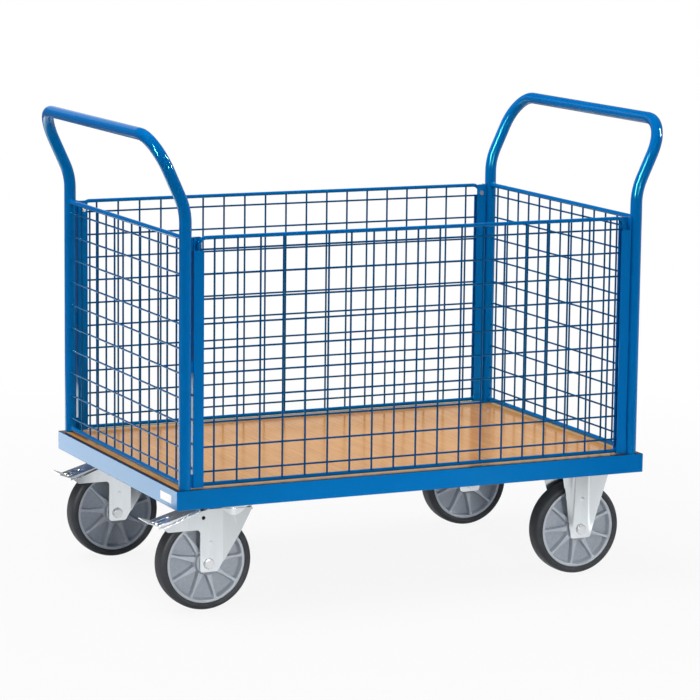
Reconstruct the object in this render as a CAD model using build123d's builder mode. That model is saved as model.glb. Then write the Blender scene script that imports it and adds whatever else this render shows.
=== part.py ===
"""Platform trolley with wire mesh on all four sides.

Millimetres, +Z up. The origin is on the floor under the middle of the deck. The long front side
faces -Y, the braked swivel castors are at the -X end and the fixed castors at the +X end.
"""

import math
import os

from build123d import *

os.makedirs("parts", exist_ok=True)

# Small clearances shared by many pieces
weld_gap = 0.1
thread_gap = 0.05
running_gap = 0.06
moving_gap = 0.4

# Deck frame and board
deck_length = 1070.0
deck_width = 700.0
rail_height = 40.0
rail_thickness = 3.0
rail_edge_radius = 1.2
ledge_width = 26.0
board_thickness = 15.0
board_clearance = 0.5

# Beams under the board
beam_height = 12.0
beam_thickness = 3.0
castor_beam_width = 140.0
centre_beam_width = 50.0

# End tubes, each two posts and a push handle
tube_diameter = 25.0
tube_wall = 2.0
post_end_inset = 23.0
handle_bend_height = 564.0
handle_rise = 145.0
handle_reach = 67.0
handle_bend_radius = 125.0
handle_corner_radius = 75.0

# Wire mesh, shared by the end walls and the side panels
mesh_pitch = 50.0
wire_diameter = 4.0
lowest_wire_height = 32.5
bottom_rod_height = 7.5
top_rod_height = 506.0
wire_end_lap = 2.5

# End walls
end_rod_diameter = 10.0
left_mesh_shift = -8.0
right_mesh_shift = 17.0

# Lift-out side panels
panel_rod_diameter = 8.0
panel_corner_radius = 17.0
panel_side_play = 6.5
panel_seat_gap = 0.3

# Channels that hold the side panels
channel_slit = 3.0
channel_depth = 22.0
channel_width = 16.0
channel_wall = 2.0
channel_seat_thickness = 2.0
channel_top_above_rod = 2.0
outer_flange_below_rod = 24.0
flange_corner_radius = 5.0
tab_width = 8.0
end_tab_height = 26.0
middle_tab_height = 24.0
middle_tab_centre = 248.0

# Clamp screws at the tops of the channels
screw_diameter = 6.0
screw_head_flats = 10.0
screw_head_height = 4.0
screw_below_rod = 17.0

# Castors
castor_height = 240.0
castor_side_inset = 88.0
swivel_end_inset = 152.0
fixed_end_inset = 117.0
plate_length = 135.0
plate_width = 110.0
plate_thickness = 6.0
plate_corner_radius = 8.0
bolt_spacing_x = 105.0
bolt_spacing_y = 75.0
bolt_diameter = 8.0
bolt_hole_clearance = 0.5
bolt_flats = 13.0
bolt_head_height = 5.3
nut_height = 6.5
bolt_end_length = 2.0

# Wheels
wheel_diameter = 200.0
tyre_width = 45.0
tyre_shoulder_radius = 9.0
tyre_bead_taper = 2.5
tyre_side_height = 6.0
sidewall_ridge_radius = 0.8
sidewall_ridge_place = 91.0
rim_radius = 84.0
rim_lip_height = 1.0
rim_lip_width = 2.5
rim_wall = 5.0
rim_width = 39.0
rim_web_thickness = 10.0
rib_count = 9
rib_width_at_hub = 13.0
rib_width_at_waist = 6.0
rib_width_at_rim = 4.5
rib_waist_share = 0.4
rib_depth_below_lip = 2.0
hub_radius = 25.0
hub_chamfer = 2.0
hub_side_gap = 1.5
bearing_radius = 13.0
bearing_length = 44.0
sleeve_radius = 9.0

# Rib angles of the four wheels as they stand, from +X towards +Z
rib_angle_swivel_front = 6.0
rib_angle_swivel_rear = 14.0
rib_angle_fixed_front = 21.0
rib_angle_fixed_rear = -1.0

# Axle bolts, shared by the forks and the brackets
cheek_gap = 60.0
cheek_thickness = 4.0
axle_diameter = 12.0
axle_hole_clearance = 0.2
axle_flats = 18.0
axle_head_height = 6.0
axle_nut_height = 8.0
axle_end_length = 3.0

# Swivel forks
trail = 60.0
kingpin_diameter = 16.0
kingpin_nut_flats = 24.0
kingpin_nut_height = 9.0
kingpin_nut_gap = 0.3
horn_root_clearance = 8.0
fork_head_rise = 5.0
fork_top_thickness = 5.0
fork_top_back = 62.0
fork_head_front = 31.0
fork_leg_half_width = 19.0
fork_leg_below_axle = 17.0
fork_leg_corner_radius = 6.0
fork_fold_before_axle = 31.0
fork_knee_before_axle = 66.0
fork_knee_above_axle = 61.0
fork_flare = 11.0
fork_wing_start = 1.5
crown_inset = 1.0
crown_height = 25.0
horn_root_behind_axle = 28.0
horn_end_behind_axle = 86.0
horn_tip_behind_axle = 100.0
horn_root_drop = 2.0
horn_end_drop = 23.5
horn_tip_drop = 28.0
horn_bottom_drop = 36.5
horn_tip_inset = 11.0
horn_notch_radius = 8.0
fork_hole_diameter = 8.0
fork_hole_behind_axle = 12.0
fork_hole_drop = 12.0

# Ball race of the swivel
ball_diameter = 9.0
ball_count = 20
ball_pitch_radius = 37.0
ball_gap = 0.1
race_half_width = 6.0
race_height = 6.0
skirt_gap = 1.0
skirt_thickness = 3.0
skirt_floor_gap = 1.0

# Brake pedals
pedal_side_gap = 2.5
pedal_thickness = 3.0
pedal_above_horn = 1.0
pedal_slope = 0.29
pedal_back = 16.0
pedal_outer = 106.0
pedal_lip_reach = 24.0
pedal_lip_rise = 8.5
pedal_flange_depth = 8.5
pedal_slot_width = 10.0
pedal_slot_length = 28.0
pedal_slot_middle = 88.0
pedal_ear_radius = 6.0
pedal_ear_thickness = 3.0
pedal_pin_diameter = 6.0
pedal_pin_back = 22.0
pedal_pin_drop = 5.5
shoe_tyre_gap = 5.5
shoe_start_angle = 115.0
shoe_end_angle = 131.0
shoe_half_width = 20.0

# Fixed brackets
bracket_fold_half_width = 21.5
bracket_top_half_width = 57.0
bracket_bottom_half_width = 24.5
bracket_wing_below_axle = 9.0
bracket_below_axle = 19.0
bracket_leg_top_inset = 1.0
bracket_corner_radius = 7.0

# Heights of the deck and the mesh
web_bottom = castor_height
web_top = web_bottom + beam_thickness
board_bottom = castor_height + beam_height
deck_top = board_bottom + board_thickness
rail_bottom = deck_top - rail_height
ledge_bottom = board_bottom - rail_thickness
bottom_rod_z = deck_top + bottom_rod_height
top_rod_z = deck_top + top_rod_height
wire_rows = int((top_rod_height - lowest_wire_height) // mesh_pitch) + 1
wire_heights = [deck_top + lowest_wire_height + mesh_pitch * i for i in range(wire_rows)]

# Places of the posts, channels and panels
tube_radius = tube_diameter / 2
wire_radius = wire_diameter / 2
wire_offset = wire_radius + weld_gap / 2
panel_rod_radius = panel_rod_diameter / 2
post_x = deck_length / 2 - post_end_inset
post_y = deck_width / 2 - rail_thickness - weld_gap - tube_radius
channel_back_x = post_x - tube_radius - channel_slit
channel_mouth_x = channel_back_x - channel_depth
panel_rod_x = channel_back_x - channel_wall - panel_side_play - panel_rod_radius
channel_top = top_rod_z + channel_top_above_rod

# Upright wires that fit at the mesh pitch between the posts and between the panel's rods
end_columns = int(2 * (post_y - tube_radius) // mesh_pitch)
panel_columns = 2 * int((panel_rod_x - panel_rod_diameter) // mesh_pitch) + 1

# The seat in each channel lies just under the bent corner of the panel's rod
corner_centre_x = panel_rod_x - panel_corner_radius
corner_outer_radius = panel_corner_radius + panel_rod_radius
corner_drop = math.sqrt(corner_outer_radius**2 - (channel_mouth_x - corner_centre_x) ** 2)
channel_seat_z = bottom_rod_z + panel_corner_radius - corner_drop - panel_seat_gap
channel_bottom = channel_seat_z - channel_seat_thickness

# Places of the castors
castor_y = deck_width / 2 - castor_side_inset
swivel_x = swivel_end_inset - deck_length / 2
fixed_x = deck_length / 2 - fixed_end_inset
plate_bottom = castor_height - plate_thickness
wheel_radius = wheel_diameter / 2
cheek_outer = cheek_gap / 2 + cheek_thickness
bolt_grid = [(sx * bolt_spacing_x / 2, sy * bolt_spacing_y / 2) for sx in (-1, 1) for sy in (-1, 1)]
castor_places = [(x, sy * castor_y) for x in (swivel_x, fixed_x) for sy in (-1, 1)]
sides = {"front": -1, "rear": 1}
ends = {"left": -1, "right": 1}


def save(piece, name):
    """Label a finished piece and write it to its own file."""
    piece.part.label = name
    export_step(piece.part, f"parts/{name}.step")


def rod(start, end, diameter, mode=Mode.ADD):
    """Add or cut a straight round rod from one point to another in the part being built."""
    along = Vector(end) - Vector(start)
    with BuildSketch(Plane(origin=start, z_dir=along)) as section:
        Circle(diameter / 2)
    extrude(section.sketch, amount=along.length, mode=mode)


def hexagon(place, direction, flats, height, bore=0.0):
    """Add a hexagonal bolt head or nut that stands on a point, with a bore for its thread."""
    with BuildSketch(Plane(origin=place, z_dir=direction)) as outline:
        RegularPolygon(flats / 2, 6, major_radius=False)
        if bore > 0:
            Circle(bore / 2, mode=Mode.SUBTRACT)
    extrude(outline.sketch, amount=height)


# Deck frame: four mitred rails, each an upright web with a ledge for the board
rail_layout = {
    "frame_rail_front": (Vector(1, 0, 0), Vector(0, 1, 0), deck_length, deck_width),
    "frame_rail_rear": (Vector(-1, 0, 0), Vector(0, -1, 0), deck_length, deck_width),
    "frame_rail_left": (Vector(0, -1, 0), Vector(1, 0, 0), deck_width, deck_length),
    "frame_rail_right": (Vector(0, 1, 0), Vector(-1, 0, 0), deck_width, deck_length),
}
for rail_name, (along, inward, length, across) in rail_layout.items():
    start = along * (-length / 2) - inward * (across / 2)
    finish = along * (length / 2) - inward * (across / 2)
    with BuildPart() as rail:
        with BuildSketch(Plane(origin=start, x_dir=inward, z_dir=along)) as section:
            with BuildLine():
                Polyline(
                    (0, rail_bottom),
                    (rail_thickness, rail_bottom),
                    (rail_thickness, ledge_bottom),
                    (ledge_width, ledge_bottom),
                    (ledge_width, board_bottom),
                    (rail_thickness, board_bottom),
                    (rail_thickness, deck_top),
                    (0, deck_top),
                    close=True,
                )
            make_face()
            outer_corners = section.vertices().group_by(Axis.X)[0]
            fillet(outer_corners, min(rail_edge_radius, 0.45 * rail_thickness))
        extrude(amount=length)
        split(bisect_by=Plane(origin=start, z_dir=along - inward), keep=Keep.TOP)
        split(bisect_by=Plane(origin=finish, z_dir=-along - inward), keep=Keep.TOP)
    save(rail, rail_name)

# Deck board with a notch round each post
board_length = deck_length - 2 * (rail_thickness + board_clearance)
board_width = deck_width - 2 * (rail_thickness + board_clearance)
notch_radius = tube_radius + board_clearance
with BuildPart() as deck_board:
    with BuildSketch(Plane.XY.offset(board_bottom)):
        Rectangle(board_length, board_width)
        with GridLocations(2 * post_x, 2 * post_y, 2, 2):
            Circle(notch_radius, mode=Mode.SUBTRACT)
        with GridLocations(2 * post_x, board_width, 2, 2):
            Rectangle(2 * notch_radius, board_width - 2 * post_y, mode=Mode.SUBTRACT)
    extrude(amount=board_thickness)
save(deck_board, "deck_board")


def cross_beam(name, centre_x, width, hole_places):
    """A shallow channel across the frame, welded between the rails under the board."""
    web_length = deck_width - 2 * (rail_thickness + weld_gap)
    leg_length = deck_width - 2 * (ledge_width + weld_gap)
    with BuildPart() as beam:
        with BuildSketch(Plane.XY.offset(web_bottom)):
            with Locations((centre_x, 0)):
                Rectangle(width, web_length)
            if hole_places:
                with Locations(*hole_places):
                    Circle(bolt_diameter / 2 + bolt_hole_clearance, mode=Mode.SUBTRACT)
        extrude(amount=beam_thickness)
        with BuildSketch(Plane.XY.offset(web_top)):
            with Locations((centre_x, 0)):
                with GridLocations(width - beam_thickness, 0, 2, 1):
                    Rectangle(beam_thickness, leg_length)
        extrude(amount=beam_height - beam_thickness)
    save(beam, name)


for beam_name, beam_x in (("castor_beam_left", swivel_x), ("castor_beam_right", fixed_x)):
    beam_holes = [(beam_x + hx, sy * castor_y + hy) for hx, hy in bolt_grid for sy in (-1, 1)]
    cross_beam(beam_name, beam_x, castor_beam_width, beam_holes)
cross_beam("centre_beam", (swivel_x + fixed_x) / 2, centre_beam_width, [])

# Bolts and nuts that hold the castor plates to the beams
bolt_places = [(x + hx, y + hy) for x, y in castor_places for hx, hy in bolt_grid]
bolt_end_z = plate_bottom - nut_height - bolt_end_length
with BuildPart() as castor_bolts:
    for bx, by in bolt_places:
        rod((bx, by, bolt_end_z), (bx, by, web_top), bolt_diameter)
        hexagon((bx, by, web_top), (0, 0, 1), bolt_flats, bolt_head_height)
save(castor_bolts, "castor_bolts")

with BuildPart() as castor_nuts:
    for bx, by in bolt_places:
        nut_bore = bolt_diameter + 2 * thread_gap
        hexagon((bx, by, plate_bottom), (0, 0, -1), bolt_flats, nut_height, nut_bore)
save(castor_nuts, "castor_nuts")

# End walls: bent tube, two cross rods and the mesh between the posts
for end_name, sx in ends.items():
    wall_x = sx * post_x
    bend_z = deck_top + handle_bend_height
    handle_x = wall_x + sx * handle_reach
    handle_z = bend_z + handle_rise
    post_axes = [((wall_x, sy * post_y, board_bottom), (wall_x, sy * post_y, bend_z)) for sy in (-1, 1)]

    with BuildPart() as end_tube:
        with BuildLine() as tube_path:
            FilletPolyline(
                (wall_x, -post_y, board_bottom),
                (wall_x, -post_y, bend_z),
                (handle_x, -post_y, handle_z),
                (handle_x, post_y, handle_z),
                (wall_x, post_y, bend_z),
                (wall_x, post_y, board_bottom),
                radius=[handle_bend_radius, handle_corner_radius, handle_corner_radius, handle_bend_radius],
            )
        with BuildSketch(Plane(origin=(wall_x, -post_y, board_bottom), z_dir=(0, 0, 1))):
            Circle(tube_radius)
            Circle(tube_radius - tube_wall, mode=Mode.SUBTRACT)
        sweep(path=tube_path.line)
    save(end_tube, f"end_tube_{end_name}")

    with BuildPart() as end_rods:
        for rod_z in (bottom_rod_z, top_rod_z):
            rod((wall_x, -post_y, rod_z), (wall_x, post_y, rod_z), end_rod_diameter)
        for low, high in post_axes:
            rod(low, high, tube_diameter + 2 * weld_gap, Mode.SUBTRACT)
    save(end_rods, f"end_rods_{end_name}")

    mesh_shift = left_mesh_shift if end_name == "left" else right_mesh_shift
    upright_x = wall_x - sx * wire_offset
    with BuildPart() as end_uprights:
        for i in range(end_columns):
            wire_y = mesh_shift + mesh_pitch * (i - (end_columns - 1) / 2)
            foot = (upright_x, wire_y, bottom_rod_z + wire_end_lap)
            rod(foot, (upright_x, wire_y, top_rod_z - wire_end_lap), wire_diameter)
        for rod_z in (bottom_rod_z, top_rod_z):
            ends_of_rod = [(wall_x, sy * post_y, rod_z) for sy in (-1, 1)]
            rod(*ends_of_rod, end_rod_diameter + 2 * weld_gap, Mode.SUBTRACT)
    save(end_uprights, f"end_uprights_{end_name}")

    cross_x = wall_x + sx * wire_offset
    with BuildPart() as end_cross_wires:
        for wire_z in wire_heights:
            rod((cross_x, -post_y, wire_z), (cross_x, post_y, wire_z), wire_diameter)
        for low, high in post_axes:
            rod(low, high, tube_diameter + 2 * weld_gap, Mode.SUBTRACT)
    save(end_cross_wires, f"end_cross_wires_{end_name}")

# Channels beside the posts, open towards the panels, each closed below by a seat
screw_z = top_rod_z - screw_below_rod
for side_name, sy in sides.items():
    for end_name, sx in ends.items():
        inner_y = -sy * (channel_width / 2 - channel_wall / 2)
        back_middle = sx * (channel_back_x - channel_wall / 2)
        flange_middle = sx * (channel_back_x - channel_depth / 2)
        channel_plane = Plane(origin=(0, sy * post_y, channel_bottom))
        with BuildPart() as channel:
            with BuildSketch(channel_plane):
                with Locations((back_middle, 0)):
                    Rectangle(channel_wall, channel_width)
                with Locations((flange_middle, inner_y)):
                    Rectangle(channel_depth, channel_wall)
            extrude(amount=channel_top - channel_bottom)
            with BuildSketch(channel_plane):
                with Locations((flange_middle, -inner_y)):
                    Rectangle(channel_depth, channel_wall)
            extrude(amount=top_rod_z - outer_flange_below_rod - channel_bottom)
            with BuildSketch(channel_plane):
                with Locations((flange_middle, 0)):
                    Rectangle(channel_depth, channel_width)
            extrude(amount=channel_seat_thickness)
            mouth_corners = channel.edges().filter_by(Axis.Y).filter_by_position(
                Axis.X, *sorted((sx * channel_mouth_x - 0.1, sx * channel_mouth_x + 0.1))
            )
            fillet(mouth_corners.sort_by(Axis.Z)[-2:], flange_corner_radius)
            screw_start = (sx * panel_rod_x, sy * post_y, screw_z)
            screw_end = (sx * panel_rod_x, sy * (post_y - channel_width), screw_z)
            rod(screw_start, screw_end, screw_diameter + 2 * thread_gap, Mode.SUBTRACT)
        save(channel, f"channel_{side_name}_{end_name}")

# Weld tabs between the channels and the posts
middle_tab_z = deck_top + middle_tab_centre
tab_spans = [
    (channel_bottom, channel_bottom + end_tab_height),
    (middle_tab_z - middle_tab_height / 2, middle_tab_z + middle_tab_height / 2),
    (channel_top - end_tab_height, channel_top),
]
with BuildPart() as channel_tabs:
    for sx in (-1, 1):
        for sy in (-1, 1):
            for low_z, high_z in tab_spans:
                with BuildSketch(Plane.XY.offset(low_z)):
                    with Locations((sx * (channel_back_x + tube_radius / 2), sy * post_y)):
                        Rectangle(tube_radius, tab_width)
                    with Locations((sx * post_x, sy * post_y)):
                        Circle(tube_radius + weld_gap, mode=Mode.SUBTRACT)
                extrude(amount=high_z - low_z)
save(channel_tabs, "channel_tabs")

# Clamp screws in the inner flanges, with their tips just short of the panel rods
with BuildPart() as clamp_screws:
    for sx in (-1, 1):
        for sy in (-1, 1):
            tip_y = sy * (post_y - panel_rod_radius - moving_gap)
            head_y = sy * (post_y - channel_width / 2)
            rod((sx * panel_rod_x, tip_y, screw_z), (sx * panel_rod_x, head_y, screw_z), screw_diameter)
            hexagon((sx * panel_rod_x, head_y, screw_z), (0, -sy, 0), screw_head_flats, screw_head_height)
save(clamp_screws, "clamp_screws")

# Lift-out side panels: a bent rod frame with the mesh welded into it
for side_name, sy in sides.items():
    panel_y = sy * post_y
    corners = [
        (-panel_rod_x, panel_y, bottom_rod_z),
        (panel_rod_x, panel_y, bottom_rod_z),
        (panel_rod_x, panel_y, top_rod_z),
        (-panel_rod_x, panel_y, top_rod_z),
    ]
    frame_runs = [(corners[i], corners[(i + 1) % 4]) for i in range(4)]

    with BuildPart() as panel_frame:
        with BuildLine() as frame_path:
            FilletPolyline(*corners, radius=panel_corner_radius, close=True)
        with BuildSketch(Plane(origin=frame_path.line @ 0, z_dir=frame_path.line % 0)):
            Circle(panel_rod_radius)
        sweep(path=frame_path.line)
    save(panel_frame, f"{side_name}_panel_frame")

    upright_y = panel_y + sy * wire_offset
    with BuildPart() as panel_uprights:
        for i in range(panel_columns):
            wire_x = mesh_pitch * (i - (panel_columns - 1) / 2)
            foot = (wire_x, upright_y, bottom_rod_z + wire_end_lap)
            rod(foot, (wire_x, upright_y, top_rod_z - wire_end_lap), wire_diameter)
        for run in frame_runs:
            rod(*run, panel_rod_diameter + 2 * weld_gap, Mode.SUBTRACT)
    save(panel_uprights, f"{side_name}_panel_uprights")

    cross_y = panel_y - sy * wire_offset
    cross_end_x = panel_rod_x - wire_end_lap
    with BuildPart() as panel_cross_wires:
        for wire_z in wire_heights:
            rod((-cross_end_x, cross_y, wire_z), (cross_end_x, cross_y, wire_z), wire_diameter)
        for run in frame_runs:
            rod(*run, panel_rod_diameter + 2 * weld_gap, Mode.SUBTRACT)
    save(panel_cross_wires, f"{side_name}_panel_cross_wires")


def wheel(name, centre_x, centre_y, rib_angle):
    """Rim, tyre and bearing of one wheel."""
    centre = (centre_x, centre_y, wheel_radius)
    half_section = Plane(origin=centre, x_dir=(0, 1, 0), z_dir=(1, 0, 0))
    side_view = Plane(origin=centre, x_dir=(1, 0, 0), z_dir=(0, -1, 0))
    spin_axis = Axis(centre, (0, 1, 0))
    rim_inner = rim_radius - rim_wall
    hub_length = cheek_gap - 2 * hub_side_gap
    lip_radius = rim_radius + rim_lip_height
    lip_inner = rim_width / 2 - rim_lip_width

    with BuildPart() as rim:
        with BuildSketch(half_section):
            with Locations((0, bearing_radius)):
                Rectangle(hub_length, hub_radius - bearing_radius, align=(Align.CENTER, Align.MIN))
            with Locations((0, bearing_radius)):
                Rectangle(rim_web_thickness, rim_inner - bearing_radius, align=(Align.CENTER, Align.MIN))
            with Locations((0, rim_inner)):
                Rectangle(rim_width, rim_wall, align=(Align.CENTER, Align.MIN))
            for su in (-1, 1):
                with Locations((su * (rim_width - rim_lip_width) / 2, rim_inner)):
                    Rectangle(rim_lip_width, lip_radius - rim_inner, align=(Align.CENTER, Align.MIN))
        revolve(axis=spin_axis)
        hub_edges = rim.edges().filter_by(GeomType.CIRCLE).group_by(Axis.Y)
        for hub_end in (hub_edges[0], hub_edges[-1]):
            chamfer(hub_end.sort_by(SortBy.RADIUS)[-1], hub_chamfer)
        with BuildSketch(side_view):
            with PolarLocations(0, rib_count, start_angle=rib_angle):
                rib_root = (bearing_radius + hub_radius) / 2
                rib_waist = hub_radius + rib_waist_share * (rim_inner - hub_radius)
                rib_end = rim_inner + rim_wall / 2
                Polygon(
                    (rib_root, -rib_width_at_hub / 2),
                    (rib_waist, -rib_width_at_waist / 2),
                    (rib_end, -rib_width_at_rim / 2),
                    (rib_end, rib_width_at_rim / 2),
                    (rib_waist, rib_width_at_waist / 2),
                    (rib_root, rib_width_at_hub / 2),
                    align=None,
                )
        extrude(amount=rim_width / 2 - rib_depth_below_lip, both=True)
    save(rim, f"rim_{name}")

    half_tyre = tyre_width / 2
    bead_z = lip_radius + weld_gap
    bead_in = lip_inner - weld_gap
    with BuildPart() as tyre:
        with BuildSketch(half_section) as tyre_section:
            with BuildLine():
                Polyline(
                    (-bead_in, rim_radius),
                    (bead_in, rim_radius),
                    (bead_in, bead_z),
                    (half_tyre - tyre_bead_taper, bead_z),
                    (half_tyre, rim_radius + tyre_side_height),
                    (half_tyre, wheel_radius),
                    (-half_tyre, wheel_radius),
                    (-half_tyre, rim_radius + tyre_side_height),
                    (-half_tyre + tyre_bead_taper, bead_z),
                    (-bead_in, bead_z),
                    close=True,
                )
            make_face()
            fillet(
                tyre_section.vertices().group_by(Axis.Y)[-1],
                min(tyre_shoulder_radius, 0.9 * (wheel_radius - rim_radius - tyre_side_height)),
            )
            for su in (-1, 1):
                taper_share = (sidewall_ridge_place - bead_z) / (rim_radius + tyre_side_height - bead_z)
                ridge_u = half_tyre - tyre_bead_taper * (1 - min(taper_share, 1))
                with Locations((su * ridge_u, sidewall_ridge_place)):
                    Circle(sidewall_ridge_radius)
        revolve(axis=spin_axis)
    save(tyre, f"tyre_{name}")

    with BuildPart() as bearing:
        with BuildSketch(Plane(origin=centre, z_dir=(0, 1, 0))):
            Circle(bearing_radius - thread_gap)
            Circle(sleeve_radius + running_gap, mode=Mode.SUBTRACT)
        extrude(amount=bearing_length / 2, both=True)
    save(bearing, f"bearing_{name}")


def axle_set(name, centre_x, centre_y):
    """Axle bolt with its nut, and the sleeve between the cheeks on which the wheel turns."""
    head_y = centre_y - cheek_outer
    nut_y = centre_y + cheek_outer
    end_y = nut_y + axle_nut_height + axle_end_length
    with BuildPart() as axle:
        rod((centre_x, head_y, wheel_radius), (centre_x, end_y, wheel_radius), axle_diameter)
        hexagon((centre_x, head_y, wheel_radius), (0, -1, 0), axle_flats, axle_head_height)
        nut_place = (centre_x, nut_y, wheel_radius)
        hexagon(nut_place, (0, 1, 0), axle_flats, axle_nut_height, axle_diameter + 2 * thread_gap)
        with BuildSketch(Plane(origin=(centre_x, centre_y, wheel_radius), z_dir=(0, 1, 0))):
            Circle(sleeve_radius)
            Circle(axle_diameter / 2 + thread_gap, mode=Mode.SUBTRACT)
        extrude(amount=cheek_gap / 2, both=True)
    save(axle, f"axle_{name}")


# Heights inside the swivel castors
horn_root_z = wheel_diameter + horn_root_clearance
fork_top = horn_root_z + fork_head_rise
fork_underside = fork_top - fork_top_thickness
race_top = fork_top + race_height
ball_z = race_top + ball_gap + ball_diameter / 2
upper_race_z = ball_z + ball_diameter / 2 + ball_gap
race_outer = ball_pitch_radius + race_half_width
race_inner = ball_pitch_radius - race_half_width
skirt_inner = race_outer + skirt_gap
skirt_outer = skirt_inner + skirt_thickness


def swivel_castor(name, centre_y, rib_angle):
    """One braked swivel castor: plate, kingpin, balls, fork, axle, wheel, pedal and pedal pin."""
    axle_x = swivel_x - trail
    pin_radius = kingpin_diameter / 2

    with BuildPart() as plate:
        with BuildSketch(Plane(origin=(swivel_x, centre_y, plate_bottom))):
            RectangleRounded(plate_length, plate_width, plate_corner_radius)
            Circle(pin_radius + thread_gap, mode=Mode.SUBTRACT)
            with Locations(*bolt_grid):
                Circle(bolt_diameter / 2 + bolt_hole_clearance, mode=Mode.SUBTRACT)
        extrude(amount=plate_thickness)
        with BuildSketch(Plane(origin=(swivel_x, centre_y, upper_race_z))):
            Circle(skirt_outer)
            Circle(race_inner, mode=Mode.SUBTRACT)
        extrude(amount=plate_bottom - upper_race_z)
        with BuildSketch(Plane(origin=(swivel_x, centre_y, fork_top + skirt_floor_gap))):
            Circle(skirt_outer)
            Circle(skirt_inner, mode=Mode.SUBTRACT)
        extrude(amount=upper_race_z - fork_top - skirt_floor_gap)
    save(plate, f"castor_plate_{name}")

    nut_top = fork_underside - kingpin_nut_gap
    nut_bottom = nut_top - kingpin_nut_height
    with BuildPart() as kingpin:
        rod((swivel_x, centre_y, nut_bottom), (swivel_x, centre_y, castor_height), kingpin_diameter)
        nut_place = (swivel_x, centre_y, nut_top)
        nut_bore = kingpin_diameter + 2 * thread_gap
        hexagon(nut_place, (0, 0, -1), kingpin_nut_flats, kingpin_nut_height, nut_bore)
    save(kingpin, f"kingpin_{name}")

    with BuildPart() as balls:
        with Locations((swivel_x, centre_y, ball_z)):
            with PolarLocations(ball_pitch_radius, ball_count):
                Sphere(ball_diameter / 2)
    save(balls, f"swivel_balls_{name}")

    # Outline of a cheek, with x from the swivel axis and z from the floor
    leg_back = -trail - fork_leg_half_width
    leg_front = -trail + fork_leg_half_width
    leg_bottom = wheel_radius - fork_leg_below_axle
    horn_root = -trail - horn_root_behind_axle
    horn_end = -trail - horn_end_behind_axle
    horn_tip = -trail - horn_tip_behind_axle
    horn_bottom_z = horn_root_z - horn_bottom_drop
    knee_x = fork_knee_before_axle - trail
    knee_z = wheel_radius + fork_knee_above_axle
    fold_x = fork_fold_before_axle - trail
    fold_z = leg_bottom + (knee_z - leg_bottom) * (fold_x - leg_front) / (knee_x - leg_front)
    with BuildPart() as fork:
        with BuildSketch(Plane(origin=(swivel_x, centre_y, 0), x_dir=(1, 0, 0), z_dir=(0, -1, 0))) as cheek:
            with BuildLine():
                Polyline(
                    (leg_back, leg_bottom),
                    (leg_front, leg_bottom),
                    (fold_x, fold_z),
                    (fold_x, fork_top),
                    (-fork_top_back, fork_top),
                    (horn_root, horn_root_z - horn_root_drop),
                    (horn_end, horn_root_z - horn_end_drop),
                    (horn_tip, horn_root_z - horn_tip_drop),
                    (horn_tip + horn_tip_inset, horn_bottom_z),
                    (leg_back, horn_bottom_z),
                    close=True,
                )
            make_face()
            fillet(cheek.vertices().group_by(Axis.Y)[0], fork_leg_corner_radius)
            fillet(cheek.vertices().sort_by_distance((leg_back, horn_bottom_z))[0], horn_notch_radius)
            with Locations((-trail, wheel_radius)):
                Circle(axle_diameter / 2 + axle_hole_clearance, mode=Mode.SUBTRACT)
            with Locations((-trail - fork_hole_behind_axle, horn_root_z - fork_hole_drop)):
                Circle(fork_hole_diameter / 2, mode=Mode.SUBTRACT)
            with Locations((-trail - pedal_pin_back, horn_root_z - pedal_pin_drop)):
                Circle(pedal_pin_diameter / 2 + thread_gap, mode=Mode.SUBTRACT)
        extrude(amount=cheek_outer, both=True)
        with BuildSketch(Plane(origin=(swivel_x, centre_y, fork_top - crown_height))):
            Circle(cheek_outer)
        with BuildSketch(Plane(origin=(swivel_x, centre_y, fork_top))):
            Circle(skirt_outer - crown_inset)
        loft(ruled=True)
        with BuildSketch(Plane(origin=(swivel_x, centre_y, 0), x_dir=(1, 0, 0), z_dir=(0, -1, 0))):
            with Locations((0, fork_underside / 2)):
                Rectangle(4 * plate_length, fork_underside)
            with Locations((-fork_top_back - plate_length, fork_top)):
                Rectangle(2 * plate_length, 2 * fork_top)
        extrude(amount=cheek_gap / 2, both=True, mode=Mode.SUBTRACT)
        # The front of each cheek opens outwards from an upright fold, up to the head plate
        wing_edges = [(fold_x + fork_wing_start, fold_z), (knee_x, knee_z), (fork_head_front, fork_top)]
        for sy in (-1, 1):
            for edge_x, edge_z in wing_edges:
                flare = fork_flare * (edge_x - fold_x) / (fork_head_front - fold_x)
                with BuildSketch(Plane(origin=(swivel_x, centre_y, edge_z))):
                    Polygon(
                        (fold_x, sy * cheek_gap / 2),
                        (fold_x, sy * cheek_outer),
                        (edge_x, sy * (cheek_outer + flare)),
                        (edge_x, sy * (cheek_gap / 2 + flare)),
                        align=None,
                    )
            loft(ruled=True)
        with BuildSketch(Plane(origin=(swivel_x, centre_y, fork_underside))):
            Polygon(
                (fold_x, -cheek_outer),
                (fork_head_front, -cheek_outer - fork_flare),
                (fork_head_front, cheek_outer + fork_flare),
                (fold_x, cheek_outer),
                align=None,
            )
        extrude(amount=fork_top_thickness)
        with BuildSketch(Plane(origin=(swivel_x, centre_y, fork_top))):
            Circle(race_outer)
            Circle(race_inner, mode=Mode.SUBTRACT)
        extrude(amount=race_height)
        pin_low = (swivel_x, centre_y, fork_underside)
        pin_high = (swivel_x, centre_y, fork_top)
        rod(pin_low, pin_high, kingpin_diameter + 2 * running_gap, Mode.SUBTRACT)
    save(fork, f"fork_{name}")

    axle_set(f"swivel_{name}", axle_x, centre_y)
    wheel(f"swivel_{name}", axle_x, centre_y, rib_angle)

    pivot_x = axle_x - pedal_pin_back
    pivot_z = horn_root_z - pedal_pin_drop
    with BuildPart() as pedal_pin:
        pin_ends = [(pivot_x, centre_y + sy * cheek_outer, pivot_z) for sy in (-1, 1)]
        rod(*pin_ends, pedal_pin_diameter)
    save(pedal_pin, f"pedal_pin_{name}")

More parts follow.
